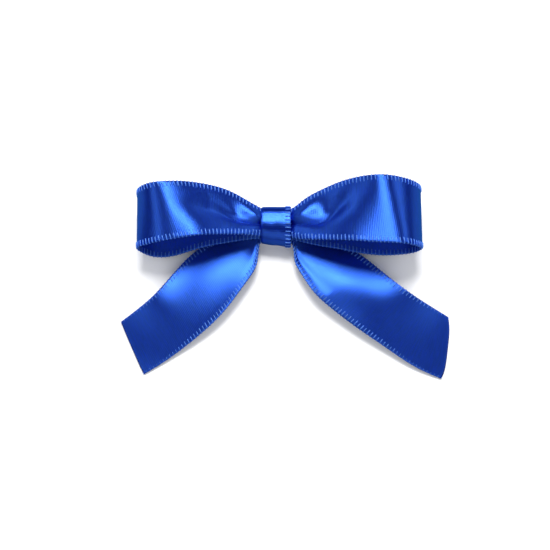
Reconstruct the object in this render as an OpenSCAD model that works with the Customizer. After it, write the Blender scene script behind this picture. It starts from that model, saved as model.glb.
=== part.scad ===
// Pre-made gift bow of satin ribbon, lying on its back.
// X runs along the loops, Y away from the tails, Z up from the back of the bow.
// The origin is on the back face, behind the middle of the centre wrap.

/* [Ribbon] */
// Width of the satin ribbon
ribbon_w = 16; // [13:0.5:20]
// Thickness of the satin ribbon
ribbon_t = 0.4; // [0.3:0.05:0.6]

/* [Loops] */
// Reach of the right loop, from the middle of the bow to its outer end
loop_right_reach = 36; // [28:0.5:50]
// Reach of the left loop
loop_left_reach = 34.5; // [28:0.5:50]
// Height of the round end of the right loop
loop_right_h = 14.5; // [10:0.5:18]
// Height of the round end of the left loop
loop_left_h = 13; // [10:0.5:18]
// Height of the loops' underside above the back face
loop_under = 2.2; // [1.6:0.1:4]
// Radius of the rolled root where a loop leaves the waist
loop_root_r = 2.2; // [1.6:0.1:2.6]
// Length over which a loop widens from the waist to the full ribbon
loop_gather = 11; // [6:0.5:16]

/* [Tails] */
// Length of the right tail from its pivot to the middle of its cut end, in a straight line
tail_right_len = 46; // [35:0.5:60]
// Angle of the right tail below the loops
tail_right_angle = 38; // [30:1:50]
// Angle by which the cut end of the right tail slants
tail_right_cut = 20; // [0:1:30]
// Length of the left tail
tail_left_len = 41.5; // [35:0.5:60]
// Angle of the left tail below the loops
tail_left_angle = 44; // [30:1:50]
// Angle by which the cut end of the left tail slants
tail_left_cut = 10; // [0:1:30]
// Angle through which a tail curves sideways along its length
tail_turn = 17; // [8:1:28]
// Radius of the gathered root of a tail
tail_root_r = 2.3; // [1.8:0.1:2.8]
// Distance of the tails' roots from the middle of the waist, towards the cut ends
tail_root_drop = 2; // [1:0.1:3]
// Length over which a tail widens to the full ribbon
tail_gather = 14; // [8:0.5:20]
// Length over which a tail runs level from its pivot
tail_level = 4; // [2:0.5:6]
// Length over which a tail comes down to the surface after that
tail_fall = 18; // [12:0.5:26]

/* [Waist] */
// Width of the pleated waist
waist_w = 7.4; // [6:0.1:9]
// Thickness of the pleated waist
waist_h = 4.66; // [4:0.02:6]
// Diameter of the binding thread
thread_d = 0.34; // [0.2:0.02:0.5]
// Turns of binding thread
thread_turns = 5; // [3:1:8]
// Radius of the knot in the thread
knot_r = 0.45; // [0.3:0.05:0.6]

/* [Centre wrap] */
// Width of the folded band that is wrapped round the waist
wrap_w = 7.2; // [6:0.1:10]
// Length of the band's outer end that lies over its inner end, at the back
wrap_lap = 5.8; // [4:0.1:6.4]
// Length of the strip at the back where the band steps down to its lap
wrap_step = 0.8; // [0.6:0.1:1]
// Thickness of the glue between the two ends
glue_t = 0.2; // [0.1:0.05:0.4]
// Bare margin beside the glue, at each edge of the band
glue_margin = 1.1; // [0.5:0.1:2]

/* [Adhesive pad] */
// Length of the pad along the loops
pad_l = 12; // [9:0.5:16]
// Width of the pad
pad_w = 8; // [6:0.5:10]
// Thickness of the foam with its two sticky faces
pad_t = 1; // [0.6:0.1:2]
// Distance from the middle of the waist to the middle of the pad, away from the tails
pad_shift = 0.8; // [0:0.1:2]
// Radius of the pad's corners
pad_corner_r = 1.5; // [0.5:0.1:2.5]
// Thickness of the release liner
liner_t = 0.12; // [0.08:0.02:0.2]
// Length of the liner's finger tab beyond the pad
liner_tab_l = 3.5; // [2:0.5:6]
// Width of the finger tab
liner_tab_w = 5; // [4:0.5:6]

/* [Fits] */
// Gap between the waist and what swings beside it
joint_gap = 0.25; // [0.2:0.05:0.5]
// Gap between the waist and the band or thread round it
wrap_gap = 0.05; // [0.02:0.01:0.1]

/* [Hidden] */
$fn = 64;

satin = "royalblue";
steps = 14;                      // straight stretches in a curved outline
wrap_t = 2 * ribbon_t - 0.1;     // the band is the ribbon folded over on itself and pressed
pad_top = liner_t + pad_t;
lap_top = pad_top + wrap_t;
wrap_under = lap_top + glue_t;
waist_z = wrap_under + wrap_t + wrap_gap + waist_h / 2;
root_x = wrap_w / 2 + joint_gap + loop_root_r;
tail_pivot_x = wrap_w / 2 + joint_gap + tail_root_r;
tail_root_z = (pad_top + waist_z - loop_root_r) / 2;
thread_pitch = thread_d + 0.06;
neck_r = waist_h / 2 - thread_d - wrap_gap;
thread_r = neck_r + wrap_gap / 2 + thread_d / 2;
neck_l = thread_turns * thread_pitch + 0.2;
waist_l = wrap_w - 0.4;
reach_all = 200;                 // longer than anything in the bow

// Rises from 0 to 1 with level ends.
function ease(u) = let (v = min(1, max(0, u))) v * v * (3 - 2 * v);

// The two circles' outer tangent points on one side: side is 1 above and -1 below.
function tangent(c1, r1, c2, r2, side) =
    let (dx = c2[0] - c1[0], dy = c2[1] - c1[1],
         along = atan2(dy, dx),
         lean = asin((r2 - r1) / norm([dx, dy])),
         a = along + side * (90 + lean))
    [[c1[0] + r1 * cos(a), c1[1] + r1 * sin(a)], [c2[0] + r2 * cos(a), c2[1] + r2 * sin(a)]];

// Two circles and the straight stretches between them.
module teardrop(c1, r1, c2, r2) {
    above = tangent(c1, r1, c2, r2, 1);
    below = tangent(c1, r1, c2, r2, -1);
    translate(c1) circle(r1);
    translate(c2) circle(r2);
    polygon([above[0], c1, below[0], below[1], c2, above[1]]);
}

// A rectangle with two fully round ends, width across and height up.
module stadium(width, height) {
    r = height / 2;
    for (side = [-1, 1]) translate([side * (width / 2 - r), 0]) circle(r);
    square([width - height, height], center = true);
}

module rounded_rectangle(length, width, r) {
    for (x = [-1, 1], y = [-1, 1])
        translate([x * (length / 2 - r), y * (width / 2 - r)]) circle(r);
    square([length, width - 2 * r], center = true);
    square([length - 2 * r, width], center = true);
}

// Puts a drawing of the YZ plane at its place along X.
module along_x(length) {
    rotate([90, 0, 90]) linear_extrude(height = length, center = true) children();
}

// Half the width of a loop at a distance x from the middle of the bow.
function loop_half(x) =
    waist_w / 2 + (ribbon_w - waist_w) / 2 * ease((x - root_x) / loop_gather);

// The loop as seen from above, narrow at the waist.
module loop_plan(reach) {
    xs = [for (i = [0 : steps]) root_x + loop_gather * i / steps];
    polygon(concat(
        [[0, -waist_w / 2]],
        [for (x = xs) [x, -loop_half(x)]],
        [[reach, -ribbon_w / 2], [reach, ribbon_w / 2]],
        [for (i = [steps : -1 : 0]) [xs[i], loop_half(xs[i])]],
        [[0, waist_w / 2]]));
}

// One loop: a band of ribbon round a teardrop, with a rolled root beside the waist.
module ribbon_loop(reach, height) {
    r = height / 2;
    root = [root_x, waist_z];
    end = [reach - r, loop_under + r];
    color(satin) intersection() {
        rotate([90, 0, 0]) linear_extrude(height = ribbon_w + 2, center = true) difference() {
            teardrop(root, loop_root_r, end, r);
            difference() {
                teardrop(root, loop_root_r - ribbon_t, end, r - ribbon_t);
                translate(root) circle(loop_root_r - ribbon_t / 2);
            }
        }
        linear_extrude(height = reach_all) loop_plan(reach);
    }
}

module loop_right() { ribbon_loop(loop_right_reach, loop_right_h); }

module loop_left() { mirror([1, 0, 0]) ribbon_loop(loop_left_reach, loop_left_h); }

// A point on one edge of a tail: u runs from 0 at the pivot to 1 at the cut end, side is 1 or -1.
function tail_edge(len, u, side) =
    let (a = tail_turn * (u - 0.5),
         r = len / (2 * sin(tail_turn / 2)),
         half = tail_root_r + (ribbon_w / 2 - tail_root_r) * ease(u * len / tail_gather))
    [r * (sin(a) + sin(tail_turn / 2)) - side * half * sin(a),
     r * (cos(tail_turn / 2) - cos(a)) + side * half * cos(a)];

// The tail as seen from above, from its pivot along +X, with its outer corner cut back.
module tail_plan(len, cut) {
    slant = ribbon_w / 2 * tan(cut) / len;
    circle(tail_root_r);
    polygon(concat(
        [for (i = [0 : steps]) tail_edge(len, (1 + slant) * i / steps, -1)],
        [for (i = [steps : -1 : 0]) tail_edge(len, (1 - slant) * i / steps, 1)]));
}

// Height of a tail's middle at a distance d from its pivot.
function tail_z(d) = tail_root_z + (ribbon_t / 2 - tail_root_z) * ease((d - tail_level) / tail_fall);

// The tail as seen from its side: level at the root, then down to the surface.
module tail_side(len) {
    ds = concat([-2 * tail_root_r], [for (i = [0 : steps]) tail_level + tail_fall * i / steps],
                [len + ribbon_w]);
    polygon(concat(
        [for (d = ds) [d, tail_z(d) - ribbon_t / 2]],
        [for (i = [len(ds) - 1 : -1 : 0]) [ds[i], tail_z(ds[i]) + ribbon_t / 2]]));
}

module ribbon_tail(len, angle, cut) {
    color(satin) translate([tail_pivot_x, -tail_root_drop, 0]) rotate([0, 0, -angle]) intersection() {
        linear_extrude(height = reach_all) tail_plan(len, cut);
        rotate([90, 0, 0]) linear_extrude(height = reach_all, center = true) tail_side(len);
    }
}

module tail_right() { ribbon_tail(tail_right_len, tail_right_angle, tail_right_cut); }

module tail_left() {
    mirror([1, 0, 0]) ribbon_tail(tail_left_len, tail_left_angle, tail_left_cut);
}

// The gathered middle of the ribbon, with a neck for the thread and a pocket for its knot.
module waist_pleats() {
    color("mediumblue") translate([0, 0, waist_z]) difference() {
        along_x(waist_l) stadium(waist_w, waist_h);
        along_x(neck_l) difference() {
            square([2 * waist_w, 2 * waist_h], center = true);
            stadium(waist_w - 2 * (waist_h / 2 - neck_r), 2 * neck_r);
        }
        thread_knot_at() sphere(knot_r + wrap_gap);
    }
}

// The knot sits on the side of the waist that is away from the tails.
module thread_knot_at() {
    translate([0, waist_w / 2 - knot_r - wrap_gap, 0]) children();
}

// One turn of thread round the waist: two half rings and two straight stretches.
module thread_turn() {
    half = waist_w / 2 - waist_h / 2;
    for (side = [0, 180]) rotate([side, 0, 0]) {
        translate([0, half, 0]) rotate([0, 90, 0])
            rotate_extrude(angle = 180) translate([thread_r, 0]) circle(thread_d / 2);
        translate([0, 0, thread_r]) rotate([90, 0, 0])
            cylinder(r = thread_d / 2, h = 2 * half, center = true);
    }
}

// The turns side by side, with the thread's end laid across them and knotted.
module binding_thread() {
    wound = (thread_turns - 1) * thread_pitch;
    color("navy") translate([0, 0, waist_z]) {
        for (i = [0 : thread_turns - 1])
            translate([i * thread_pitch - wound / 2, 0, 0]) thread_turn();
        translate([0, waist_w / 2 - waist_h / 2 + thread_r, 0]) rotate([0, 90, 0])
            cylinder(r = thread_d / 2, h = wound, center = true);
        thread_knot_at() sphere(knot_r);
    }
}

// The folded band round the waist, its outer end lapped over its inner end at the back.
module centre_wrap() {
    outside = wrap_gap + wrap_t;
    color(satin) along_x(wrap_w) union() {
        translate([0, waist_z]) difference() {
            stadium(waist_w + 2 * outside, waist_h + 2 * outside);
            stadium(waist_w + 2 * wrap_gap, waist_h + 2 * wrap_gap);
        }
        translate([-wrap_lap / 2, pad_top]) {
            square([wrap_lap, wrap_t]);
            square([wrap_step, wrap_under + wrap_t * 0.8 - pad_top]);
        }
    }
}

// The bead of glue between the two ends of the band.
module wrap_glue() {
    color("ivory") translate([0, 0, lap_top + glue_t / 2])
        cube([wrap_w - 2 * glue_margin, waist_w - waist_h, glue_t], center = true);
}

module adhesive_pad() {
    color("white") translate([0, pad_shift, liner_t]) linear_extrude(height = pad_t)
        rounded_rectangle(pad_l, pad_w, pad_corner_r);
}

// The waxed paper over the sticky face, with a tab to pull it off by.
module release_liner() {
    color("lightyellow") translate([0, pad_shift, 0]) linear_extrude(height = liner_t) union() {
        rounded_rectangle(pad_l, pad_w, pad_corner_r);
        translate([pad_l / 2 + liner_tab_l - liner_tab_w / 2, 0]) circle(liner_tab_w / 2);
        translate([0, -liner_tab_w / 2])
            square([pad_l / 2 + liner_tab_l - liner_tab_w / 2, liner_tab_w]);
    }
}

loop_right();
loop_left();
tail_right();
tail_left();
waist_pleats();
binding_thread();
centre_wrap();
wrap_glue();
adhesive_pad();
release_liner();
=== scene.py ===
"""Looks for the ready-made gift bow: satin ribbon, selvedge stitches, centre band, thread and pad."""
import math

import bpy
import numpy as np
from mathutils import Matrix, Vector


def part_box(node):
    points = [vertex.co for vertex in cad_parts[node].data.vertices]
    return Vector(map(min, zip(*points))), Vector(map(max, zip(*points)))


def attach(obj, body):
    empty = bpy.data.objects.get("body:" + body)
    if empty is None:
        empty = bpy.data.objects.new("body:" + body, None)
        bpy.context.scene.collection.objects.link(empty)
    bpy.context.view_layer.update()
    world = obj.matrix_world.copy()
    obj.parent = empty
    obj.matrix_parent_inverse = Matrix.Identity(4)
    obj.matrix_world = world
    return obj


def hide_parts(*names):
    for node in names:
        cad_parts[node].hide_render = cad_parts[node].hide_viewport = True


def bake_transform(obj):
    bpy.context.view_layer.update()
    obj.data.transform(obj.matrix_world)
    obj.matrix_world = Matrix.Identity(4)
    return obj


bl_info = {
    "name": "Ribbon Gift Bow",
    "version": (1, 0, 0),
    "blender": (4, 5, 0),
    "location": "View3D > Sidebar > Bow",
    "description": "Builds a tied satin gift bow around its packed frame",
    "category": "Add Mesh",
}

MM = 0.001
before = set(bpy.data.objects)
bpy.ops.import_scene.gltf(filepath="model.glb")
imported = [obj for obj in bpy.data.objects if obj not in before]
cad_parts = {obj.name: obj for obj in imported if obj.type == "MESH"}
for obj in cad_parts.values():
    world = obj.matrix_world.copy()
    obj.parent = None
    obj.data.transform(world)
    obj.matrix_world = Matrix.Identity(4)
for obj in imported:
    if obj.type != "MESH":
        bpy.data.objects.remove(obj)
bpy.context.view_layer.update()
RIGHT, LEFT = 1, -1

# Both selvedges of a loop: out along the front, round the end and back along the underside.
# The points are in millimetres: away from the bow's middle, away from the tails, and up. They suit
# loops of the reach, underside and height in LOOP_DRAWN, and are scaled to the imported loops.
LOOP_DRAWN = {RIGHT: (36.0, 2.2, 14.5), LEFT: (34.5, 2.2, 13.0)}
LOOP_ROWS = {
    RIGHT: (
        ((2.4, -3.2, 6.0), (2.4, 3.2, 6.1)),
        ((4.2, -3.7, 6.3), (4.2, 3.9, 6.8)),
        ((7.0, -4.6, 7.9), (7.0, 5.7, 8.0)),
        ((11.0, -5.5, 10.2), (10.5, 7.3, 9.5)),
        ((16.0, -6.2, 12.2), (15.5, 8.8, 11.9)),
        ((21.0, -6.9, 13.4), (20.5, 9.4, 14.4)),
        ((26.0, -7.4, 14.0), (24.5, 9.3, 16.0)),
        ((30.0, -7.6, 14.1), (27.5, 9.2, 16.0)),
        ((32.8, -7.6, 13.0), (31.0, 9.1, 14.5)),
        ((35.0, -7.4, 10.6), (34.3, 9.0, 11.8)),
        ((36.0, -6.9, 7.6), (36.0, 8.9, 8.2)),
        ((34.8, -6.9, 4.7), (34.8, 9.0, 4.9)),
        ((31.0, -7.0, 2.8), (31.0, 9.0, 2.6)),
        ((24.0, -7.0, 2.8), (24.0, 8.9, 2.2)),
        ((15.0, -5.9, 4.4), (15.0, 8.0, 3.3)),
        ((9.7, -5.1, 4.8), (9.7, 6.2, 4.1)),
        ((5.5, -3.9, 4.4), (5.5, 4.2, 4.1)),
        ((2.4, -3.1, 3.9), (2.4, 3.2, 3.9)),
    ),
    LEFT: (
        ((2.4, -3.0, 6.0), (2.4, 3.3, 6.1)),
        ((4.2, -3.2, 6.4), (4.2, 4.1, 6.8)),
        ((7.0, -3.5, 7.9), (6.8, 5.3, 7.8)),
        ((11.5, -4.1, 10.3), (12.0, 7.6, 9.5)),
        ((16.0, -4.8, 12.4), (18.5, 8.6, 11.7)),
        ((19.5, -5.4, 13.4), (23.5, 8.5, 13.6)),
        ((22.5, -5.9, 13.4), (27.6, 8.1, 14.6)),
        ((27.0, -6.5, 12.9), (31.0, 7.9, 14.0)),
        ((31.2, -6.8, 10.9), (33.6, 7.8, 11.4)),
        ((34.2, -6.8, 7.9), (34.5, 7.8, 8.1)),
        ((33.4, -7.1, 5.0), (33.6, 7.8, 4.8)),
        ((30.5, -7.6, 2.9), (30.5, 7.8, 2.7)),
        ((24.3, -7.0, 2.8), (24.3, 8.0, 2.2)),
        ((19.2, -5.6, 3.7), (19.2, 8.0, 2.9)),
        ((12.0, -4.4, 4.6), (12.0, 7.0, 3.9)),
        ((6.0, -3.4, 4.4), (6.0, 4.6, 4.1)),
        ((2.4, -3.0, 3.9), (2.4, 3.2, 3.9)),
    ),
}

# Folds of a loop's front: its crease and its bulge beside the knot. Each has a path of distance along
# the ribbon and place across it from -1 to 1, then widths and heights at distances, in millimetres.
LOOP_FOLDS = {
    RIGHT: (
        (((0, -0.08), (9, -0.26), (12, -0.12), (16, 0.25), (21, 0.60)),
         ((0, 0.12), (9, 0.15), (14, 0.30), (22, 0.50)),
         ((0, 0), (3, -0.6), (8, -1.0), (13, -0.8), (18, -0.4), (25, 0))),
        (((0, 0.12), (9, 0.14), (19, 0.30)),
         ((0, 0.38), (19, 0.42)),
         ((0, 0), (1.5, 0.8), (4, 1.7), (10, -0.9), (14, -0.6), (19, 0)))),
    LEFT: (
        (((0, -0.08), (4, -0.30), (9, -0.23), (16, 0.0), (22, 0.20)),
         ((0, 0.12), (9, 0.15), (14, 0.30), (22, 0.50)),
         ((0, 0), (3, -0.6), (8, -1.0), (12, -0.8), (18, -0.5), (25, 0))),
        (((0, 0.12), (7, 0.14), (15, 0.30)),
         ((0, 0.38), (15, 0.42)),
         ((0, 0), (1, 0.7), (2.5, 1.4), (7.5, -0.5), (10.5, -0.6), (15, 0)))),
}

# Both selvedges of a tail, from the waist to the cut end, in millimetres as above: first the
# selvedge nearer to the other tail, then the one under the loop.
TAIL_ROWS = {
    RIGHT: (
        ((2.4, -3.0, 3.3), (2.4, 2.0, 3.2)),
        ((3.9, -4.3, 3.4), (4.6, 1.6, 3.0)),
        ((4.6, -8.3, 3.6), (9.0, -0.5, 2.4)),
        ((6.2, -12.2, 4.0), (15.0, -3.2, 1.9)),
        ((9.3, -17.0, 4.1), (20.5, -6.3, 1.8)),
        ((14.0, -21.4, 3.5), (25.5, -10.6, 2.5)),
        ((20.0, -26.0, 2.9), (30.5, -15.1, 3.3)),
        ((27.0, -30.8, 2.1), (36.0, -18.9, 2.6)),
        ((34.5, -35.6, 1.15), (40.0, -21.1, 1.3)),
        ((40.4, -38.2, 0.42), (42.7, -22.6, 0.5)),
    ),
    LEFT: (
        ((2.4, -3.0, 3.3), (2.4, 2.0, 3.2)),
        ((3.8, -4.1, 3.6), (4.4, 1.7, 3.1)),
        ((4.7, -9.0, 3.7), (9.5, -0.4, 2.5)),
        ((7.5, -14.7, 4.1), (15.5, -2.9, 1.9)),
        ((12.0, -21.0, 3.8), (20.5, -6.2, 1.8)),
        ((17.0, -26.1, 2.9), (25.0, -11.3, 2.6)),
        ((23.0, -30.9, 1.5), (30.5, -17.9, 3.0)),
        ((28.0, -34.4, 0.75), (35.0, -21.4, 1.5)),
        ((32.4, -37.1, 0.42), (38.4, -23.8, 0.5)),
    ),
}

# How far the middle of a tail's cut end stands out beyond its corners.
TAIL_BOWED_CUT = {RIGHT: 0.9 * MM, LEFT: 0.15 * MM}

# The lengthwise fold of a tail near its root, as LOOP_FOLDS.
TAIL_FOLDS = {
    RIGHT: (
        (((0, -0.15), (30, 0.0)),
         ((0, 0.40), (30, 0.50)),
         ((0, 0), (8, -0.1), (13, 0.1), (17, 0.4), (21, 0.75), (25, 0.7), (30, 0.3), (36, 0))),
        (((0, -0.72), (20, -0.70)),
         ((0, 0.16), (22, 0.18)),
         ((0, 0), (4, -0.3), (12, -0.5), (20, 0)))),
    LEFT: (
        (((0, -0.05), (30, 0.15)),
         ((0, 0.55), (30, 0.65)),
         ((0, 0), (8, -0.15), (12, 0.0), (16, 0.4), (19.5, 0.65), (24, 0.6), (30, 0.25), (36, 0))),
        (((0, -0.80), (20, -0.80)),
         ((0, 0.16), (22, 0.16)),
         ((0, 0), (4, -0.3), (10, -0.1), (16, 0)))),
}

# The band's outer layer in the YZ plane, in millimetres: from its inner end under the waist, round over
# the front and back to the outer end under the lap.
WRAP_PATH = (
    (-2.6, 1.95), (0.5, 1.95), (2.9, 2.35), (4.15, 3.8), (4.35, 5.6), (4.0, 6.8), (3.1, 7.5),
    (1.5, 7.85), (-0.2, 7.98), (-1.7, 7.7), (-3.3, 6.5), (-4.25, 4.7), (-4.1, 2.9), (-2.7, 1.65),
    (0.0, 1.3), (2.6, 1.3),
)

# A pressed block's rings from the middle of its underside to the middle of its top: the share of its
# outline and the share of its half height.
BLOCK_PROFILE = (
    (0.0, -1.0), (0.5, -1.0), (0.93, -1.0), (0.975, -0.88), (1.0, -0.5), (1.0, 0.5), (0.975, 0.88),
    (0.93, 1.0), (0.5, 1.0), (0.0, 1.0),
)


# ---------------------------------------------------------------- settings

class BOW_ribbon_settings(bpy.types.PropertyGroup):
    width: bpy.props.FloatProperty(
        name="Ribbon width", description="Width of the satin ribbon",
        default=16 * MM, unit="LENGTH")
    thickness: bpy.props.FloatProperty(
        name="Ribbon thickness", description="Thickness of the satin ribbon",
        default=0.3 * MM, unit="LENGTH")
    row_step: bpy.props.FloatProperty(
        name="Row step", description="Distance between rows of the ribbon's mesh",
        default=0.42 * MM, unit="LENGTH")
    columns: bpy.props.IntProperty(
        name="Columns", description="Faces across the ribbon", default=36, min=8)
    pleat_depth: bpy.props.FloatProperty(
        name="Pleat depth", description="Depth of the centre pleat where the ribbon is gathered",
        default=1.0 * MM, unit="LENGTH")
    satin_colour: bpy.props.FloatVectorProperty(
        name="Satin", description="Colour of the satin face", subtype="COLOR", size=3,
        default=(0.0015, 0.009, 0.56))
    stitch_pitch: bpy.props.FloatProperty(
        name="Stitch pitch", description="Distance between selvedge stitches",
        default=0.96 * MM, unit="LENGTH")
    stitch_reach: bpy.props.FloatProperty(
        name="Stitch length", description="Length of a stitch in from the edge",
        default=1.35 * MM, unit="LENGTH")
    stitch_thread: bpy.props.FloatProperty(
        name="Stitch thread", description="Thickness of the selvedge thread",
        default=0.27 * MM, unit="LENGTH")
    stitch_unevenness: bpy.props.FloatProperty(
        name="Stitch unevenness", description="How much the stitches differ in size", default=0.12)
    stitch_worn: bpy.props.FloatProperty(
        name="Worn length", description="Length before a cut end where the stitches thin out",
        default=20 * MM, unit="LENGTH")
    stitch_colour: bpy.props.FloatVectorProperty(
        name="Stitches", description="Colour of the selvedge thread", subtype="COLOR", size=3,
        default=(0.045, 0.15, 0.66))


class BOW_middle_settings(bpy.types.PropertyGroup):
    layer_rise: bpy.props.FloatProperty(
        name="Layer rise", description="Height of a gathered layer above or below the waist's middle",
        default=1.05 * MM, unit="LENGTH")
    gathered_half: bpy.props.FloatProperty(
        name="Gathered half width", description="Half the width of the gathered ribbon",
        default=3.1 * MM, unit="LENGTH")
    pinch: bpy.props.FloatProperty(
        name="Pinch", description="How far the thread draws each edge in",
        default=0.35 * MM, unit="LENGTH")
    waist_pleat: bpy.props.FloatProperty(
        name="Waist pleat", description="Depth of the pleats under the band",
        default=0.9 * MM, unit="LENGTH")
    fold_gap: bpy.props.FloatProperty(
        name="Fold gap", description="Distance between the band's two layers",
        default=0.38 * MM, unit="LENGTH")
    fold_step: bpy.props.FloatProperty(
        name="Fold step", description="How much narrower the band's under layer is",
        default=0.6 * MM, unit="LENGTH")
    wrinkle: bpy.props.FloatProperty(
        name="Wrinkle", description="Depth of the band's wrinkles",
        default=0.06 * MM, unit="LENGTH")
    skew: bpy.props.FloatProperty(
        name="Skew", description="How far the band's lower edge slants",
        default=0.9 * MM, unit="LENGTH")


class BOW_studio_settings(bpy.types.PropertyGroup):
    view_width: bpy.props.FloatProperty(
        name="View width", description="Width of the view at the bow's middle",
        default=137.5 * MM, unit="LENGTH")
    lens: bpy.props.FloatProperty(
        name="Lens", description="Focal length in millimetres on a 36 mm sensor", default=90.0)
    elevation: bpy.props.FloatProperty(
        name="Elevation", description="Angle of the camera above the surface",
        default=math.radians(73), subtype="ANGLE")
    back_power: bpy.props.FloatProperty(
        name="Back softbox", description="Power of the softbox behind the bow, in watts",
        default=3.9)
    front_power: bpy.props.FloatProperty(
        name="Front softbox", description="Power of the softbox beside the camera, in watts",
        default=0.8)
    side_power: bpy.props.FloatProperty(
        name="Side softboxes", description="Power of each softbox over the bow's sides, in watts",
        default=0.5)
    floor_reflected: bpy.props.FloatProperty(
        name="Floor reflected", description="Share of the floor's colour in the satin's reflections",
        default=0.3)
    room_light: bpy.props.FloatProperty(
        name="Room light", description="Strength of the light from all round", default=0.07)
    room_seen: bpy.props.FloatProperty(
        name="Room seen", description="Extra brightness of the room in view", default=0.88)
    room_fill: bpy.props.FloatProperty(
        name="Room fill", description="Extra light of the room on matt surfaces", default=0.50)
    floor_colour: bpy.props.FloatVectorProperty(
        name="Floor", description="Colour of the floor", subtype="COLOR", size=3,
        default=(0.93, 0.93, 0.93))


# ---------------------------------------------------------------- shapes

def spline(knots, values, at):
    """Natural cubic spline through values at knots, evaluated at the places in at."""
    knots, values = np.asarray(knots, float), np.asarray(values, float)
    count = len(knots)
    gap = np.diff(knots)
    slope = np.diff(values, axis=0) / gap[:, None]
    matrix = np.eye(count)
    right = np.zeros_like(values)
    for i in range(1, count - 1):
        matrix[i, i - 1:i + 2] = gap[i - 1], 2 * (gap[i - 1] + gap[i]), gap[i]
        right[i] = 6 * (slope[i] - slope[i - 1])
    bend = np.linalg.solve(matrix, right)
    i = np.clip(np.searchsorted(knots, at) - 1, 0, count - 2)
    a = (knots[i + 1] - at)[:, None]
    b = (at - knots[i])[:, None]
    h = gap[i][:, None]
    return (bend[i] * a ** 3 + bend[i + 1] * b ** 3) / (6 * h) \
        + (values[i] / h - bend[i] * h / 6) * a + (values[i + 1] / h - bend[i + 1] * h / 6) * b


def ease(x):
    x = np.clip(x, 0, 1)
    return x * x * (3 - 2 * x)


def selvedge_rails(lower, upper, step):
    """Rows of points along both selvedges, evenly spaced along the ribbon's middle."""
    lower, upper = np.asarray(lower), np.asarray(upper)
    pair = np.hstack([lower, upper])

    def distance(rows):
        middle = (rows[:, :3] + rows[:, 3:]) / 2
        return np.concatenate([[0], np.cumsum(np.linalg.norm(np.diff(middle, axis=0), axis=1))])

    samples_per_row, fewest_rows = 40, 8
    knots = distance(pair)
    fine = spline(knots, pair, np.linspace(0, knots[-1], samples_per_row * len(pair)))
    along = distance(fine)
    rows = max(fewest_rows, int(round(along[-1] / step)))
    even = np.interp(np.linspace(0, along[-1], rows + 1), along, np.linspace(0, knots[-1], len(fine)))
    rails = spline(knots, pair, even)
    return rails[:, :3], rails[:, 3:], distance(rails)


def ribbon_sheet(lower, upper, along, columns, lift):
    """Points of a ribbon between two rails: lift(along, across) raises them off the straight sheet.
    across runs from -1 at the lower selvedge to 1 at the upper one."""
    across = np.linspace(-1, 1, columns + 1)
    share = (across + 1)[None, :, None] / 2
    flat = lower[:, None] * (1 - share) + upper[:, None] * share
    forward = np.gradient(flat, axis=0)
    sideways = np.gradient(flat, axis=1)
    facing = np.cross(forward, sideways)
    facing /= np.linalg.norm(facing, axis=2)[..., None]
    grid_d, grid_t = np.meshgrid(along, across, indexing="ij")
    return flat + facing * lift(grid_d, grid_t)[..., None], grid_d, grid_t


def centre_pleat(depth, distance, across, fade, middle=0.0):
    """One pleat down the middle of the ribbon that fades out away from the waist."""
    wider_at_edges, round_bottom, flat_level = 0.12, 0.015, 0.5
    turn = np.pi * (across - middle) * (1 - wider_at_edges * np.abs(across))
    lobes = np.sqrt(np.sin(turn) ** 2 + round_bottom)
    return depth * (lobes - flat_level) * (1 - ease(distance / fade))


def smooth(distance, pairs):
    """The value at each distance, on a smooth curve through (distance, value) pairs."""
    knots, values = zip(*pairs)
    flat = np.clip(distance, knots[0], knots[-1]).ravel()
    return spline(knots, np.array(values)[:, None], flat).reshape(distance.shape)


def ridge(distance, across, path, width, height):
    """A fold that runs along path, a list of (distance, across) points. width and height are
    (distance, value) lists; a negative height makes a valley."""
    offset = (across - smooth(distance, path)) / smooth(distance, width)
    return smooth(distance, height) * np.exp(-offset ** 2)


def grid_mesh(name, points, uv_across, uv_along):
    """A mesh over a grid of points, with a UV map in millimetres across and along the ribbon."""
    rows, columns = points.shape[:2]
    faces = []
    for i in range(rows - 1):
        for j in range(columns - 1):
            a = i * columns + j
            faces.append((a, a + columns, a + columns + 1, a + 1))
    mesh = bpy.data.meshes.new(name)
    mesh.from_pydata(points.reshape(-1, 3).tolist(), [], faces)
    layer = mesh.uv_layers.new(name="ribbon")
    flat_uv = np.stack([uv_across, uv_along], axis=-1).reshape(-1, 2) / MM
    corner = np.empty(len(mesh.loops), dtype=np.int64)
    mesh.loops.foreach_get("vertex_index", corner)
    layer.data.foreach_set("uv", flat_uv[corner].ravel())
    mesh.polygons.foreach_set("use_smooth", [True] * len(mesh.polygons))
    mesh.update()
    return mesh


def add_object(name, mesh, *materials):
    piece = bpy.data.objects.new(name, mesh)
    bpy.context.scene.collection.objects.link(piece)
    for material in materials:
        mesh.materials.append(material)
    return piece


def thicken(piece, thickness):
    """Gives a sheet its thickness and applies it."""
    wall = piece.modifiers.new("thickness", "SOLIDIFY")
    wall.thickness = thickness
    wall.offset = 0
    apply_modifiers(piece)


def apply_modifiers(piece):
    depsgraph = bpy.context.evaluated_depsgraph_get()
    depsgraph.update()
    mesh = bpy.data.meshes.new_from_object(
        piece.evaluated_get(depsgraph), preserve_all_data_layers=True, depsgraph=depsgraph)
    piece.modifiers.clear()
    old = piece.data
    piece.data = mesh
    mesh.name = old.name
    bpy.data.meshes.remove(old)
    return mesh


# ---------------------------------------------------------------- materials

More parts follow.
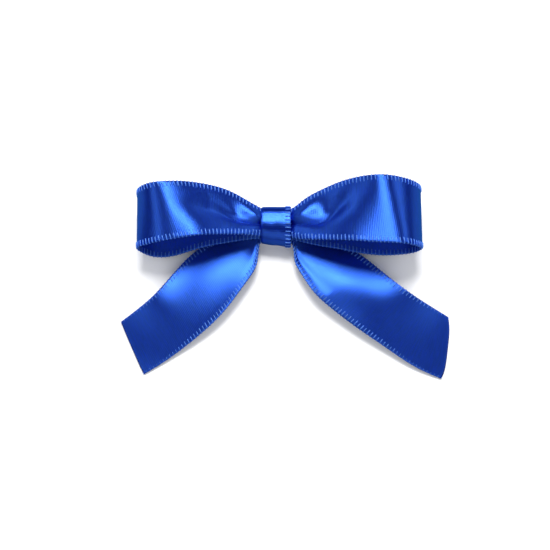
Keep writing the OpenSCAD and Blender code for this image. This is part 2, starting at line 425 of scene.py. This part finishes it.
class Nodes:
    """Short hand for building a material's nodes."""

    def __init__(self, name):
        self.material = bpy.data.materials.get(name)
        self.fresh = self.material is None
        if self.fresh:
            self.material = bpy.data.materials.new(name)
            self.material.use_nodes = True
            self.tree = self.material.node_tree
            self.shader = self.tree.nodes["Principled BSDF"]

    def add(self, kind, inputs=None, **settings):
        node = self.tree.nodes.new(kind)
        for key, value in settings.items():
            setattr(node, key, value)
        for key, value in (inputs or {}).items():
            if isinstance(value, bpy.types.NodeSocket):
                self.tree.links.new(value, node.inputs[key])
            else:
                node.inputs[key].default_value = value
        return node

    def math(self, operation, a, b=0.0, c=0.0):
        return self.add("ShaderNodeMath", {0: a, 1: b, 2: c}, operation=operation).outputs[0]

    def noise(self, vector, scale, detail=2.0, roughness=0.5):
        return self.add("ShaderNodeTexNoise", {
            "Vector": vector, "Scale": scale, "Detail": detail, "Roughness": roughness}).outputs[0]

    def remap(self, value, low, high, to_low, to_high):
        return self.add("ShaderNodeMapRange", {
            "Value": value, "From Min": low, "From Max": high,
            "To Min": to_low, "To Max": to_high}).outputs[0]

    def mix(self, factor, a, b):
        node = self.add("ShaderNodeMix", data_type="RGBA")
        for key, value in ((0, factor), (6, a), (7, b)):
            if isinstance(value, bpy.types.NodeSocket):
                self.tree.links.new(value, node.inputs[key])
            else:
                node.inputs[key].default_value = value
        return node.outputs[2]

    def set(self, **values):
        for key, value in values.items():
            socket = self.shader.inputs[key.replace("_", " ")]
            if isinstance(value, bpy.types.NodeSocket):
                self.tree.links.new(value, socket)
            else:
                socket.default_value = value

    def bump(self, height, distance, strength=1.0):
        return self.add("ShaderNodeBump", {
            "Height": height, "Distance": distance, "Strength": strength}).outputs[0]


def scaled(colour, factor):
    return tuple(min(1.0, c * factor) for c in colour) + (1.0,)


def satin():
    """Double-face satin: glossy across the weft ribs, which run across the ribbon."""
    n = Nodes("double-face satin")
    if not n.fresh:
        return n.material
    colour = bpy.context.scene.bow_ribbon.satin_colour
    uv = n.add("ShaderNodeUVMap", uv_map="ribbon")
    parts = n.add("ShaderNodeSeparateXYZ", {0: uv.outputs[0]})
    across, along = parts.outputs[0], parts.outputs[1]
    rib_pitch, rib_share, mottle_share = 0.42, 0.2, 0.8

    def woven(per_across, per_along, detail):
        """Noise stretched on the ribbon: its features per millimetre across and along it."""
        place = n.add("ShaderNodeCombineXYZ", {
            0: n.math("MULTIPLY", across, per_across), 1: n.math("MULTIPLY", along, per_along)})
        return n.noise(place.outputs[0], 1.0, detail)

    rib = n.math("SINE", n.math("MULTIPLY", along, 2 * math.pi / rib_pitch))
    floats = woven(6.0, 0.9, 3.0)
    slub = woven(0.35, 3.0, 2.0)
    mottle = woven(2.4, 2.0, 2.0)
    relief = n.math(
        "ADD", n.math("MULTIPLY_ADD", rib, rib_share, floats), n.math("MULTIPLY", mottle, mottle_share))
    n.set(
        Base_Color=n.mix(n.remap(slub, 0.3, 0.7, 0.0, 1.0), scaled(colour, 0.85), scaled(colour, 1.15)),
        Metallic=0.75,
        IOR=3.0,
        Roughness=n.remap(floats, 0.3, 0.7, 0.36, 0.44),
        Anisotropic=0.95,
        Specular_IOR_Level=1.0,
        Specular_Tint=(0.22, 0.82, 0.90, 1.0),
        Tangent=n.add("ShaderNodeTangent", direction_type="UV_MAP", uv_map="ribbon").outputs[0],
        Normal=n.bump(relief, 0.019 * MM),
    )
    return n.material


def selvedge_thread():
    """Pale polyester thread of the edge stitches."""
    n = Nodes("selvedge polyester")
    if not n.fresh:
        return n.material
    colour = bpy.context.scene.bow_ribbon.stitch_colour
    place = n.add("ShaderNodeTexCoord").outputs["Object"]
    strands = n.noise(place, 2600.0, 2.0)
    tone = n.remap(strands, 0.35, 0.65, 0.0, 1.0)
    n.set(
        Base_Color=n.mix(tone, scaled(colour, 0.6), scaled(colour, 1.1)),
        Roughness=0.42,
        IOR=1.8,
        Specular_IOR_Level=0.8,
        Specular_Tint=(0.40, 0.72, 1.0, 1.0),
        Normal=n.bump(strands, 0.03 * MM),
    )
    return n.material


def wound_thread():
    """Polyester binding thread, twisted from two plies."""
    n = Nodes("twisted polyester")
    waist_z = sum(corner[2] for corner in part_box("binding_thread")) / 2
    place = n.add("ShaderNodeTexCoord").outputs["Object"]
    parts = n.add("ShaderNodeSeparateXYZ", {0: place})
    height = n.math("SUBTRACT", parts.outputs[2], waist_z)
    angle = n.math("ARCTAN2", height, parts.outputs[1])
    twists_per_radian, twist_across = 34.0, 9000.0
    along = n.math("MULTIPLY", angle, twists_per_radian)
    ply = n.math("SINE", n.math("ADD", along, n.math("MULTIPLY", parts.outputs[0], twist_across)))
    strands = n.noise(place, 6000.0, 2.0)
    # Dark in the grooves between the plies and lighter on their crowns: painted shade.
    tone = n.remap(ply, -1.0, 1.0, 0.0, 1.0)
    n.set(
        Base_Color=n.mix(tone, (0.002, 0.006, 0.05, 1), (0.01, 0.03, 0.20, 1)),
        Roughness=0.5,
        Sheen_Weight=0.4,
        Normal=n.bump(n.math("ADD", ply, strands), 0.02 * MM),
    )
    return n.material


def set_glue():
    """Cooled hot-melt glue: cloudy, with small bubbles."""
    n = Nodes("set glue")
    place = n.add("ShaderNodeTexCoord").outputs["Object"]
    cloud = n.noise(place, 900.0, 3.0)
    bubbles = n.add("ShaderNodeTexVoronoi", {"Vector": place, "Scale": 2500.0}).outputs["Distance"]
    n.set(
        Base_Color=n.mix(cloud, (0.60, 0.52, 0.34, 1), (0.82, 0.78, 0.62, 1)),
        Roughness=n.remap(cloud, 0.3, 0.7, 0.2, 0.4),
        Subsurface_Weight=0.3,
        Subsurface_Scale=0.5 * MM,
        Normal=n.bump(n.math("ADD", bubbles, cloud), 0.03 * MM),
    )
    return n.material


def cell_foam():
    """White closed-cell foam of the sticky pad."""
    n = Nodes("cell foam")
    place = n.add("ShaderNodeTexCoord").outputs["Object"]
    cells = n.add("ShaderNodeTexVoronoi", {"Vector": place, "Scale": 4200.0}).outputs["Distance"]
    dust = n.noise(place, 700.0, 4.0)
    # Grey in the cells' pits and lighter on their walls: painted shade in the pits. The dust noise is
    # the foam's own uneven tone.
    pit_shade_and_dust = n.math("MULTIPLY", n.remap(cells, 0.0, 0.7, 0.5, 1.0), n.remap(dust, 0.3, 0.7, 0.85, 1.0))
    n.set(
        Base_Color=n.mix(pit_shade_and_dust, (0.50, 0.51, 0.53, 1), (0.86, 0.86, 0.84, 1)),
        Roughness=n.remap(dust, 0.3, 0.7, 0.75, 0.9),
        Sheen_Weight=0.2,
        Normal=n.bump(cells, 0.08 * MM),
    )
    return n.material


def waxed_paper():
    """Yellowish liner paper: fibres under a thin wax."""
    n = Nodes("waxed paper")
    place = n.add("ShaderNodeTexCoord").outputs["Object"]
    long_fibres = n.noise(n.add("ShaderNodeMapping", {
        "Vector": place, "Scale": (400.0, 2600.0, 1.0)}).outputs[0], 1.0, 4.0)
    cross_fibres = n.noise(n.add("ShaderNodeMapping", {
        "Vector": place, "Scale": (2200.0, 500.0, 1.0)}).outputs[0], 1.0, 3.0)
    fibres = n.math("MULTIPLY", n.math("ADD", long_fibres, cross_fibres), 0.5)
    tone = n.remap(fibres, 0.35, 0.65, 0.0, 1.0)
    n.set(
        Base_Color=n.mix(tone, (0.72, 0.66, 0.44, 1), (0.88, 0.85, 0.70, 1)),
        Roughness=n.remap(fibres, 0.35, 0.65, 0.38, 0.6),
        Coat_Weight=0.25,
        Coat_Roughness=0.3,
        Normal=n.bump(fibres, 0.02 * MM),
    )
    return n.material


# ---------------------------------------------------------------- selvedge stitches

def stitch_tree():
    """Sews one loop of thread round the edge at every pitch along a rail."""
    stand_off, corner, inset_share, thread_sides, corner_steps = 0.7, 0.49, 0.46, 6, 2
    name = "selvedge stitches"
    if name in bpy.data.node_groups:
        return bpy.data.node_groups[name]
    tree = bpy.data.node_groups.new(name, "GeometryNodeTree")
    tree.interface.new_socket(name="Geometry", in_out="OUTPUT", socket_type="NodeSocketGeometry")
    for label, kind in (
            ("Geometry", "Geometry"), ("Pitch", "Float"), ("Reach", "Float"), ("Thread", "Float"),
            ("Ribbon thickness", "Float"), ("Material", "Material")):
        tree.interface.new_socket(name=label, in_out="INPUT", socket_type="NodeSocket" + kind)

    def node(kind, inputs=None, **settings):
        item = tree.nodes.new(kind)
        for key, value in settings.items():
            setattr(item, key, value)
        for key, value in (inputs or {}).items():
            if isinstance(value, bpy.types.NodeSocket):
                tree.links.new(value, item.inputs[key])
            else:
                item.inputs[key].default_value = value
        return item

    def scalar(operation, a, b):
        return node("ShaderNodeMath", {0: a, 1: b}, operation=operation).outputs[0]

    given = node("NodeGroupInput").outputs
    rail = node("GeometryNodeMeshToCurve", {"Mesh": given["Geometry"]})
    points = node("GeometryNodeResampleCurve", {"Curve": rail.outputs[0], "Length": given["Pitch"]},
                  mode="LENGTH")
    # The thread's path is a flattened ring round the edge: across the ribbon and through its thickness.
    height = scalar("ADD", given["Ribbon thickness"], scalar("MULTIPLY", given["Thread"], stand_off))
    ring = node("GeometryNodeCurvePrimitiveQuadrilateral", {"Width": given["Reach"], "Height": height})
    rounded = node("GeometryNodeFilletCurve", {
        "Curve": ring.outputs[0], "Count": corner_steps, "Radius": scalar("MULTIPLY", height, corner),
        "Limit Radius": True}, mode="POLY")
    profile = node("GeometryNodeCurvePrimitiveCircle", {
        "Resolution": thread_sides, "Radius": scalar("MULTIPLY", given["Thread"], 0.5)}, mode="RADIUS")
    thread = node("GeometryNodeCurveToMesh", {
        "Curve": rounded.outputs[0], "Profile Curve": profile.outputs[0], "Fill Caps": False})
    inset = node("ShaderNodeCombineXYZ", {0: scalar("MULTIPLY", given["Reach"], -inset_share)})
    placed = node("GeometryNodeTransform", {
        "Geometry": thread.outputs[0], "Translation": inset.outputs[0]})
    upright, facing, size = (
        node("GeometryNodeInputNamedAttribute", {"Name": label}, data_type="FLOAT_VECTOR")
        for label in ("across_out", "face_out", "stitch_size"))
    turn = node("FunctionNodeAxesToRotation", {
        "Primary Axis": upright.outputs[0], "Secondary Axis": facing.outputs[0]},
        primary_axis="X", secondary_axis="Y")
    sewn = node("GeometryNodeInstanceOnPoints", {
        "Points": points.outputs[0], "Instance": placed.outputs[0], "Rotation": turn.outputs[0],
        "Scale": size.outputs[0]})
    real = node("GeometryNodeRealizeInstances", {0: sewn.outputs[0]})
    rounded_off = node("GeometryNodeSetShadeSmooth", {0: real.outputs[0]})
    final = node("GeometryNodeSetMaterial", {0: rounded_off.outputs[0], "Material": given["Material"]})
    out = node("NodeGroupOutput")
    tree.links.new(final.outputs[0], out.inputs[0])
    return tree


def set_input(modifier, label, value):
    for item in modifier.node_group.interface.items_tree:
        if item.item_type == "SOCKET" and item.in_out == "INPUT" and item.name == label:
            modifier[item.identifier] = value
            return
    raise KeyError(label)


def stitches(name, points, edges, cut_end=False):
    """The stitches along the given edges of a ribbon's grid of points: edges holds 0 and -1. They thin
    out toward the last row where it is a cut end."""
    ribbon = bpy.context.scene.bow_ribbon
    quick_beat, slow_beat, least_size = 1.9, 0.37, 0.4
    places, across_out, face_out, sizes, lines = [], [], [], [], []
    forward = np.gradient(points, axis=0)
    sideways = np.gradient(points, axis=1)
    facing = np.cross(forward, sideways)
    for edge in edges:
        start = len(places)
        out = sideways[:, edge] * (-1 if edge == 0 else 1)
        places += points[:, edge].tolist()
        across_out += (out / np.linalg.norm(out, axis=1)[:, None]).tolist()
        face_out += (facing[:, edge] / np.linalg.norm(facing[:, edge], axis=1)[:, None]).tolist()
        lines += [(i, i + 1) for i in range(start, start + len(points) - 1)]
        row = np.arange(len(points))
        beat = np.sin(quick_beat * row + edge) * np.sin(slow_beat * row + 1)
        size = 1 + ribbon.stitch_unevenness * beat
        if cut_end:
            kept = ease((row[-1] - row) * ribbon.row_step / ribbon.stitch_worn)
            size *= least_size + (1 - least_size) * kept
        sizes += np.stack([size, 0.5 + 0.5 * size, size], axis=1).tolist()
    mesh = bpy.data.meshes.new(name)
    mesh.from_pydata(places, lines, [])
    for label, vectors in (
            ("across_out", across_out), ("face_out", face_out), ("stitch_size", sizes)):
        layer = mesh.attributes.new(label, "FLOAT_VECTOR", "POINT")
        layer.data.foreach_set("vector", np.array(vectors).ravel())
    piece = add_object(name, mesh)
    sewing = piece.modifiers.new("stitches", "NODES")
    sewing.node_group = stitch_tree()
    for label, value in (
            ("Pitch", ribbon.stitch_pitch), ("Reach", ribbon.stitch_reach),
            ("Thread", ribbon.stitch_thread), ("Ribbon thickness", ribbon.thickness),
            ("Material", selvedge_thread())):
        set_input(sewing, label, value)
    apply_modifiers(piece)
    return piece


# ---------------------------------------------------------------- loops

def loop_lift(side):
    """How the folds raise a loop off its straight sheet."""
    depth = bpy.context.scene.bow_ribbon.pleat_depth / MM
    crease, bulge = LOOP_FOLDS[side]
    front_fade, back_fade, back_share, front_middle = 11.0, 10.0, 0.7, -0.08

    def lift(distance, across):
        d = distance / MM
        h = centre_pleat(depth, d, across, front_fade, middle=front_middle)
        h -= centre_pleat(depth * back_share, d.max() - d, across, back_fade)
        h += ridge(d, across, *crease) + ridge(d, across, *bulge)
        return side * h * MM

    return lift


def loop_rails(side, node):
    """The loop's two selvedges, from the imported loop's box."""
    ribbon = bpy.context.scene.bow_ribbon
    low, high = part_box(node)
    drawn_reach, drawn_under, drawn_height = LOOP_DRAWN[side]
    out = side * max(abs(low[0]), abs(high[0])) / drawn_reach
    rise = (high[2] - low[2]) / drawn_height
    rails = np.array(LOOP_ROWS[side])
    rails[..., 0] *= out
    rails[..., 1] *= MM
    rails[..., 2] = low[2] + (rails[..., 2] - drawn_under) * rise
    return selvedge_rails(rails[:, 0], rails[:, 1], ribbon.row_step)


def build_strip(name, rails, lift, bowed_cut=0.0):
    """One ribbon piece; bowed_cut is how far the middle of its last end stands out."""
    ribbon = bpy.context.scene.bow_ribbon
    cut_reach = 6 * MM
    lower, upper, along = rails
    points, grid_d, grid_t = ribbon_sheet(lower, upper, along, ribbon.columns, lift)
    forward = np.gradient(points, axis=0)
    forward /= np.linalg.norm(forward, axis=2)[..., None]
    stretch = bowed_cut * (1 - grid_t ** 4) * ease(1 - (along[-1] - grid_d) / cut_reach)
    points += forward * stretch[..., None]
    mesh = grid_mesh(name, points, grid_t * ribbon.width / 2, grid_d)
    piece = add_object(name, mesh, satin())
    thicken(piece, ribbon.thickness)
    return piece, points, along[-1]


def finish_ribbon(piece, sewn, node):
    """Bakes the placement of a ribbon piece and its stitches into their meshes, and hides the imported
    part they replace.
    """
    for item in (piece, sewn):
        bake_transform(item)
    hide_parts(node)


class BOW_OT_loops(bpy.types.Operator):
    """Builds the two ribbon loops with their selvedge stitches."""
    bl_idname = "bow.loops"
    bl_label = "Loops"

    def execute(self, context):
        for side, word in ((RIGHT, "right"), (LEFT, "left")):
            node = "loop_" + word
            piece, points, length = build_strip(
                word + "_loop", loop_rails(side, node), loop_lift(side))
            sewn = stitches(word + "_loop_selvedges", points, (0, -1))
            finish_ribbon(piece, sewn, node)
        return {"FINISHED"}


# ---------------------------------------------------------------- tails

def tail_rails(side):
    rails = np.array(TAIL_ROWS[side]) * MM
    rails[..., 0] *= side
    return selvedge_rails(rails[:, 0], rails[:, 1], bpy.context.scene.bow_ribbon.row_step)


def tail_lift(side):
    """How the folds raise a tail off its straight sheet."""
    pleat_share, pleat_fade = 0.5, 10.0
    depth = pleat_share * bpy.context.scene.bow_ribbon.pleat_depth / MM
    crest, valley = TAIL_FOLDS[side]

    def lift(distance, across):
        d = distance / MM
        h = centre_pleat(depth, d, across, pleat_fade)
        h += ridge(d, across, *crest) + ridge(d, across, *valley)
        return side * h * MM

    return lift


class BOW_OT_tails(bpy.types.Operator):
    """Builds the two tails with their selvedge stitches."""
    bl_idname = "bow.tails"
    bl_label = "Tails"

    def execute(self, context):
        for side, word in ((RIGHT, "right"), (LEFT, "left")):
            node = "tail_" + word
            piece, points, length = build_strip(
                word + "_tail", tail_rails(side), tail_lift(side), TAIL_BOWED_CUT[side])
            sewn = stitches(word + "_tail_selvedges", points, (0, -1), cut_end=True)
            finish_ribbon(piece, sewn, node)
        return {"FINISHED"}


# ---------------------------------------------------------------- middle

def flat_rows(z, reach, half, pinch, step):
    """Two straight rails along X at the height z, drawn together in the middle."""
    pinched_share = 0.4
    x = np.linspace(-reach, reach, int(2 * reach / step) + 1)
    y = half - pinch * np.exp(-(x / (pinched_share * reach)) ** 2)
    rail = np.stack([x, y, np.full(len(x), z)], axis=1)
    return rail * (1, -1, 1), rail, x + reach


def waist_lift(depth):
    """How the pleats raise a gathered layer: one deep pleat with small ones on it."""
    small_share, small_waves = 0.25, 3

    def lift(distance, across):
        small = small_share * depth * np.cos(small_waves * math.pi * across)
        return centre_pleat(depth, 0 * distance, across, 1.0) + small

    return lift


class BOW_OT_waist(bpy.types.Operator):
    """Builds the gathered ribbon in the middle of the bow: the front layer and the back layer."""
    bl_idname = "bow.waist"
    bl_label = "Waist"

    def execute(self, context):
        ribbon, middle = context.scene.bow_ribbon, context.scene.bow_middle
        low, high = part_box("waist_pleats")
        centre_z, end_gap = (low[2] + high[2]) / 2, 0.1 * MM
        for word, up in (("front", 1), ("back", -1)):
            lower, upper, along = flat_rows(
                centre_z + up * middle.layer_rise, high[0] - end_gap, middle.gathered_half,
                middle.pinch, ribbon.row_step)
            points, grid_d, grid_t = ribbon_sheet(
                lower, upper, along, ribbon.columns, waist_lift(up * middle.waist_pleat))
            mesh = grid_mesh("waist_" + word, points, grid_t * ribbon.width / 2, grid_d)
            piece = add_object("waist_" + word, mesh, satin())
            thicken(piece, ribbon.thickness)
            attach(piece, "centre")
            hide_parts("waist_pleats")
        return {"FINISHED"}


class BOW_OT_wrap(bpy.types.Operator):
    """Builds the band round the waist: ribbon folded lengthwise, lapped at the back."""
    bl_idname = "bow.wrap"
    bl_label = "Centre band"

    def execute(self, context):
        ribbon, middle = context.scene.bow_ribbon, context.scene.bow_middle
        low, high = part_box("centre_wrap")
        half = (high[0] - low[0]) / 2
        extra_columns, fold_half = 13, 0.06
        rail = np.insert(np.array(WRAP_PATH), 0, 0, axis=1) * MM
        path, _, along = selvedge_rails(rail, rail, ribbon.row_step)
        path = path[:, 1:]
        forward = np.gradient(path, axis=0)
        forward /= np.linalg.norm(forward, axis=1)[:, None]
        outward = np.stack([forward[:, 1], -forward[:, 0]], axis=1)
        across = np.linspace(-1, 1, ribbon.columns + extra_columns)
        share = np.abs(across)
        inner_end = 2 * half - middle.fold_step
        x = np.where(across > 0, -half + 2 * half * share, -half + inner_end * share)
        depth = middle.fold_gap * (1 - ease((across + fold_half) / (2 * fold_half)))
        grid_d, grid_t = np.meshgrid(along, across, indexing="ij")
        wave_across, wave_along = x / MM * 1.7 + 0.6, grid_d / MM * 0.45
        wrinkle = middle.wrinkle * np.sin(wave_across) * np.cos(wave_along)
        offset = wrinkle - depth
        yz = path[:, None] + outward[:, None] * offset[..., None]
        # The lower edge slants in front only: behind, where the band laps, it stays level.
        slant_reach, back_z, slant_rise = 4.4 * MM, 1.2 * MM, 2.5 * MM
        slant = ease(-yz[..., 0] / slant_reach) * ease((yz[..., 1] - back_z) / slant_rise)
        yz[..., 0] -= slant * middle.skew * (1 + x / half) / 2
        points = np.concatenate([np.broadcast_to(x, grid_t.shape)[..., None], yz], axis=2)
        mesh = grid_mesh("wrap", points, grid_t * ribbon.width / 2, grid_d)
        piece = add_object("wrap", mesh, satin())
        thicken(piece, ribbon.thickness)
        sewn = stitches("wrap_selvedge", points, (-1,))
        for item in (piece, sewn):
            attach(item, "centre")
        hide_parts("centre_wrap")
        return {"FINISHED"}


def pressed_block(name, low, high, corner_power, ragged, material):
    """A soft flat block with rounded rims; ragged is how far its outline and faces wander."""
    sides, ring_count = 96, 41
    low, high = np.array(low), np.array(high)
    centre, half = (low + high) / 2, (high - low) / 2
    turn = np.linspace(0, 2 * math.pi, sides, endpoint=False)
    outline = np.stack([np.sign(np.cos(turn)) * np.abs(np.cos(turn)) ** (2 / corner_power),
                        np.sign(np.sin(turn)) * np.abs(np.sin(turn)) ** (2 / corner_power)], axis=1)
    outline *= (1 - ragged * (1 + np.sin(5 * turn + 0.7) * np.cos(2 * turn)))[:, None]
    scales, heights = zip(*BLOCK_PROFILE)
    knots = np.arange(len(scales))
    at = np.linspace(0, len(scales) - 1, ring_count)[1:-1]
    scale, height = np.interp(at, knots, scales), np.interp(at, knots, heights)
    flat = outline[None] * scale[:, None, None] * half[:2]
    waves = np.sin(flat[..., 0] / MM * 2.3 + 0.4) * np.sin(flat[..., 1] / MM * 2.9)
    rise = centre[2] + half[2] * height[:, None] * (1 - ragged * (1 + waves))
    rings = np.concatenate([flat + centre[:2], rise[..., None]], axis=2)
    rows, count = rings.shape[:2]
    places = rings.reshape(-1, 3).tolist()
    faces = []
    for i in range(rows - 1):
        for j in range(count):
            a, b = i * count + j, i * count + (j + 1) % count
            faces.append((a, b, b + count, a + count))
    for ring, flip in ((0, True), (rows - 1, False)):
        places.append(rings[ring].mean(axis=0).tolist())
        for j in range(count):
            a, b = ring * count + j, ring * count + (j + 1) % count
            faces.append((b, a, len(places) - 1) if flip else (a, b, len(places) - 1))
    mesh = bpy.data.meshes.new(name)
    mesh.from_pydata(places, [], faces)
    mesh.polygons.foreach_set("use_smooth", [True] * len(mesh.polygons))
    mesh.update()
    return add_object(name, mesh, material)


class BOW_OT_backing(bpy.types.Operator):
    """Builds the foam pad and the glue, and gives the thread and the liner their materials."""
    bl_idname = "bow.backing"
    bl_label = "Thread, glue, pad and liner"

    def execute(self, context):
        for name, node, slot, corner_power, ragged, material in (
                ("pad", "adhesive_pad", "adhesive_foam", 7.0, 0.012, cell_foam()),
                ("glue", "wrap_glue", "hot_melt_glue", 3.0, 0.06, set_glue())):
            piece = pressed_block(name, *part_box(node), corner_power, ragged, material)
            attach(piece, "centre")
            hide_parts(node)
        for node, material in (("binding_thread", wound_thread()), ("release_liner", waxed_paper())):
            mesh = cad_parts[node].data
            mesh.materials.clear()
            mesh.materials.append(material)
        return {"FINISHED"}


# ---------------------------------------------------------------- stage

def softbox(name, knot, direction, size, power):
    """A softbox that faces the knot; direction points from the knot to it."""
    distance = 0.6
    light = bpy.data.lights.new(name, "AREA")
    light.shape = "RECTANGLE"
    light.size, light.size_y = size
    light.energy = power
    lamp = bpy.data.objects.new(name, light)
    bpy.context.scene.collection.objects.link(lamp)
    direction = Vector(direction).normalized()
    lamp.location = knot + direction * distance
    lamp.rotation_euler = direction.to_track_quat("Z", "Y").to_euler()


class BOW_OT_stage(bpy.types.Operator):
    """Sets the pale floor, the softboxes and the camera."""
    bl_idname = "bow.stage"
    bl_label = "Stage"

    def execute(self, context):
        studio = context.scene.bow_studio
        knot = Vector([(a + b) / 2 for a, b in zip(*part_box("waist_pleats"))])
        toward = Vector((0, -math.cos(studio.elevation), math.sin(studio.elevation)))
        up = Vector((0, math.sin(studio.elevation), math.cos(studio.elevation)))
        below_knot, left_of_knot, sensor = 12.5 * MM, 0.25 * MM, 36.0
        aim = knot - up * below_knot - Vector((left_of_knot, 0, 0))

        floor_mesh = bpy.data.meshes.new("floor")
        s, z = 3.0, -0.01 * MM
        floor_mesh.from_pydata([(-s, -s, z), (s, -s, z), (s, s, z), (-s, s, z)], [], [(0, 1, 2, 3)])
        n = Nodes("pale floor")
        grain = n.noise(n.add("ShaderNodeTexCoord").outputs["Object"], 300.0)
        c = tuple(studio.floor_colour)
        pale = n.mix(grain, scaled(c, 0.99), scaled(c, 1.0))
        # The satin shows only a dim reflection of the floor, as beside a dark card.
        glossy = n.add("ShaderNodeLightPath").outputs["Is Glossy Ray"]
        n.set(Base_Color=n.mix(glossy, pale, scaled(c, studio.floor_reflected)), Roughness=0.8)
        floor = add_object("floor", floor_mesh, n.material)

        small, wide = (0.26, 0.22), (0.60, 0.50)
        for name, direction, size, power in (
                ("softbox_back", (0, 0.476, 0.879), small, studio.back_power),
                ("softbox_left", (-0.77, 0.29, 0.57), small, studio.side_power),
                ("softbox_right", (0.77, 0.29, 0.57), small, studio.side_power),
                ("softbox_front", (0, -0.85, 0.52), wide, studio.front_power)):
            softbox(name, knot, direction, size, power)

        world = bpy.data.worlds.new("studio")
        context.scene.world = world
        world.use_nodes = True
        background = world.node_tree.nodes["Background"]
        background.inputs[0].default_value = (0.95, 0.97, 1.0, 1)
        # The room looks pale and fills shadows softly, but gives only dim reflections.
        ray = world.node_tree.nodes.new("ShaderNodeLightPath").outputs
        strength = studio.room_light
        for kind, extra in (("Is Camera Ray", studio.room_seen), ("Is Diffuse Ray", studio.room_fill)):
            step = world.node_tree.nodes.new("ShaderNodeMath")
            step.operation = "MULTIPLY_ADD"
            world.node_tree.links.new(ray[kind], step.inputs[0])
            step.inputs[1].default_value = extra
            if isinstance(strength, float):
                step.inputs[2].default_value = strength
            else:
                world.node_tree.links.new(strength, step.inputs[2])
            strength = step.outputs[0]
        world.node_tree.links.new(strength, background.inputs[1])

        camera_data = bpy.data.cameras.new("camera")
        camera_data.lens = studio.lens
        camera_data.sensor_width = sensor
        camera = bpy.data.objects.new("camera", camera_data)
        context.scene.collection.objects.link(camera)
        camera.location = aim + toward * (studio.view_width * studio.lens / sensor)
        camera.rotation_euler = toward.to_track_quat("Z", "Y").to_euler()
        camera_data.clip_start = 0.01
        context.scene.camera = camera
        context.scene.view_settings.view_transform = "Standard"
        return {"FINISHED"}


class BOW_PT_panel(bpy.types.Panel):
    """Lists the bow's building steps."""
    bl_idname = "BOW_PT_panel"
    bl_label = "Gift bow"
    bl_space_type = "VIEW_3D"
    bl_region_type = "UI"
    bl_category = "Bow"

    def draw(self, context):
        for operator in OPERATORS:
            self.layout.operator(operator.bl_idname)


SETTINGS = (BOW_ribbon_settings, BOW_middle_settings, BOW_studio_settings)
OPERATORS = (BOW_OT_loops, BOW_OT_tails, BOW_OT_waist, BOW_OT_wrap, BOW_OT_backing, BOW_OT_stage)


def register():
    for item in (*SETTINGS, *OPERATORS, BOW_PT_panel):
        bpy.utils.register_class(item)
    bpy.types.Scene.bow_ribbon = bpy.props.PointerProperty(type=BOW_ribbon_settings)
    bpy.types.Scene.bow_middle = bpy.props.PointerProperty(type=BOW_middle_settings)
    bpy.types.Scene.bow_studio = bpy.props.PointerProperty(type=BOW_studio_settings)


def unregister():
    del bpy.types.Scene.bow_studio, bpy.types.Scene.bow_middle, bpy.types.Scene.bow_ribbon
    for item in reversed((*SETTINGS, *OPERATORS, BOW_PT_panel)):
        bpy.utils.unregister_class(item)


def main():
    register()
    bpy.ops.bow.loops()
    bpy.ops.bow.tails()
    bpy.ops.bow.waist()
    bpy.ops.bow.wrap()
    bpy.ops.bow.backing()
    bpy.ops.bow.stage()


if __name__ == "__main__":
    main()
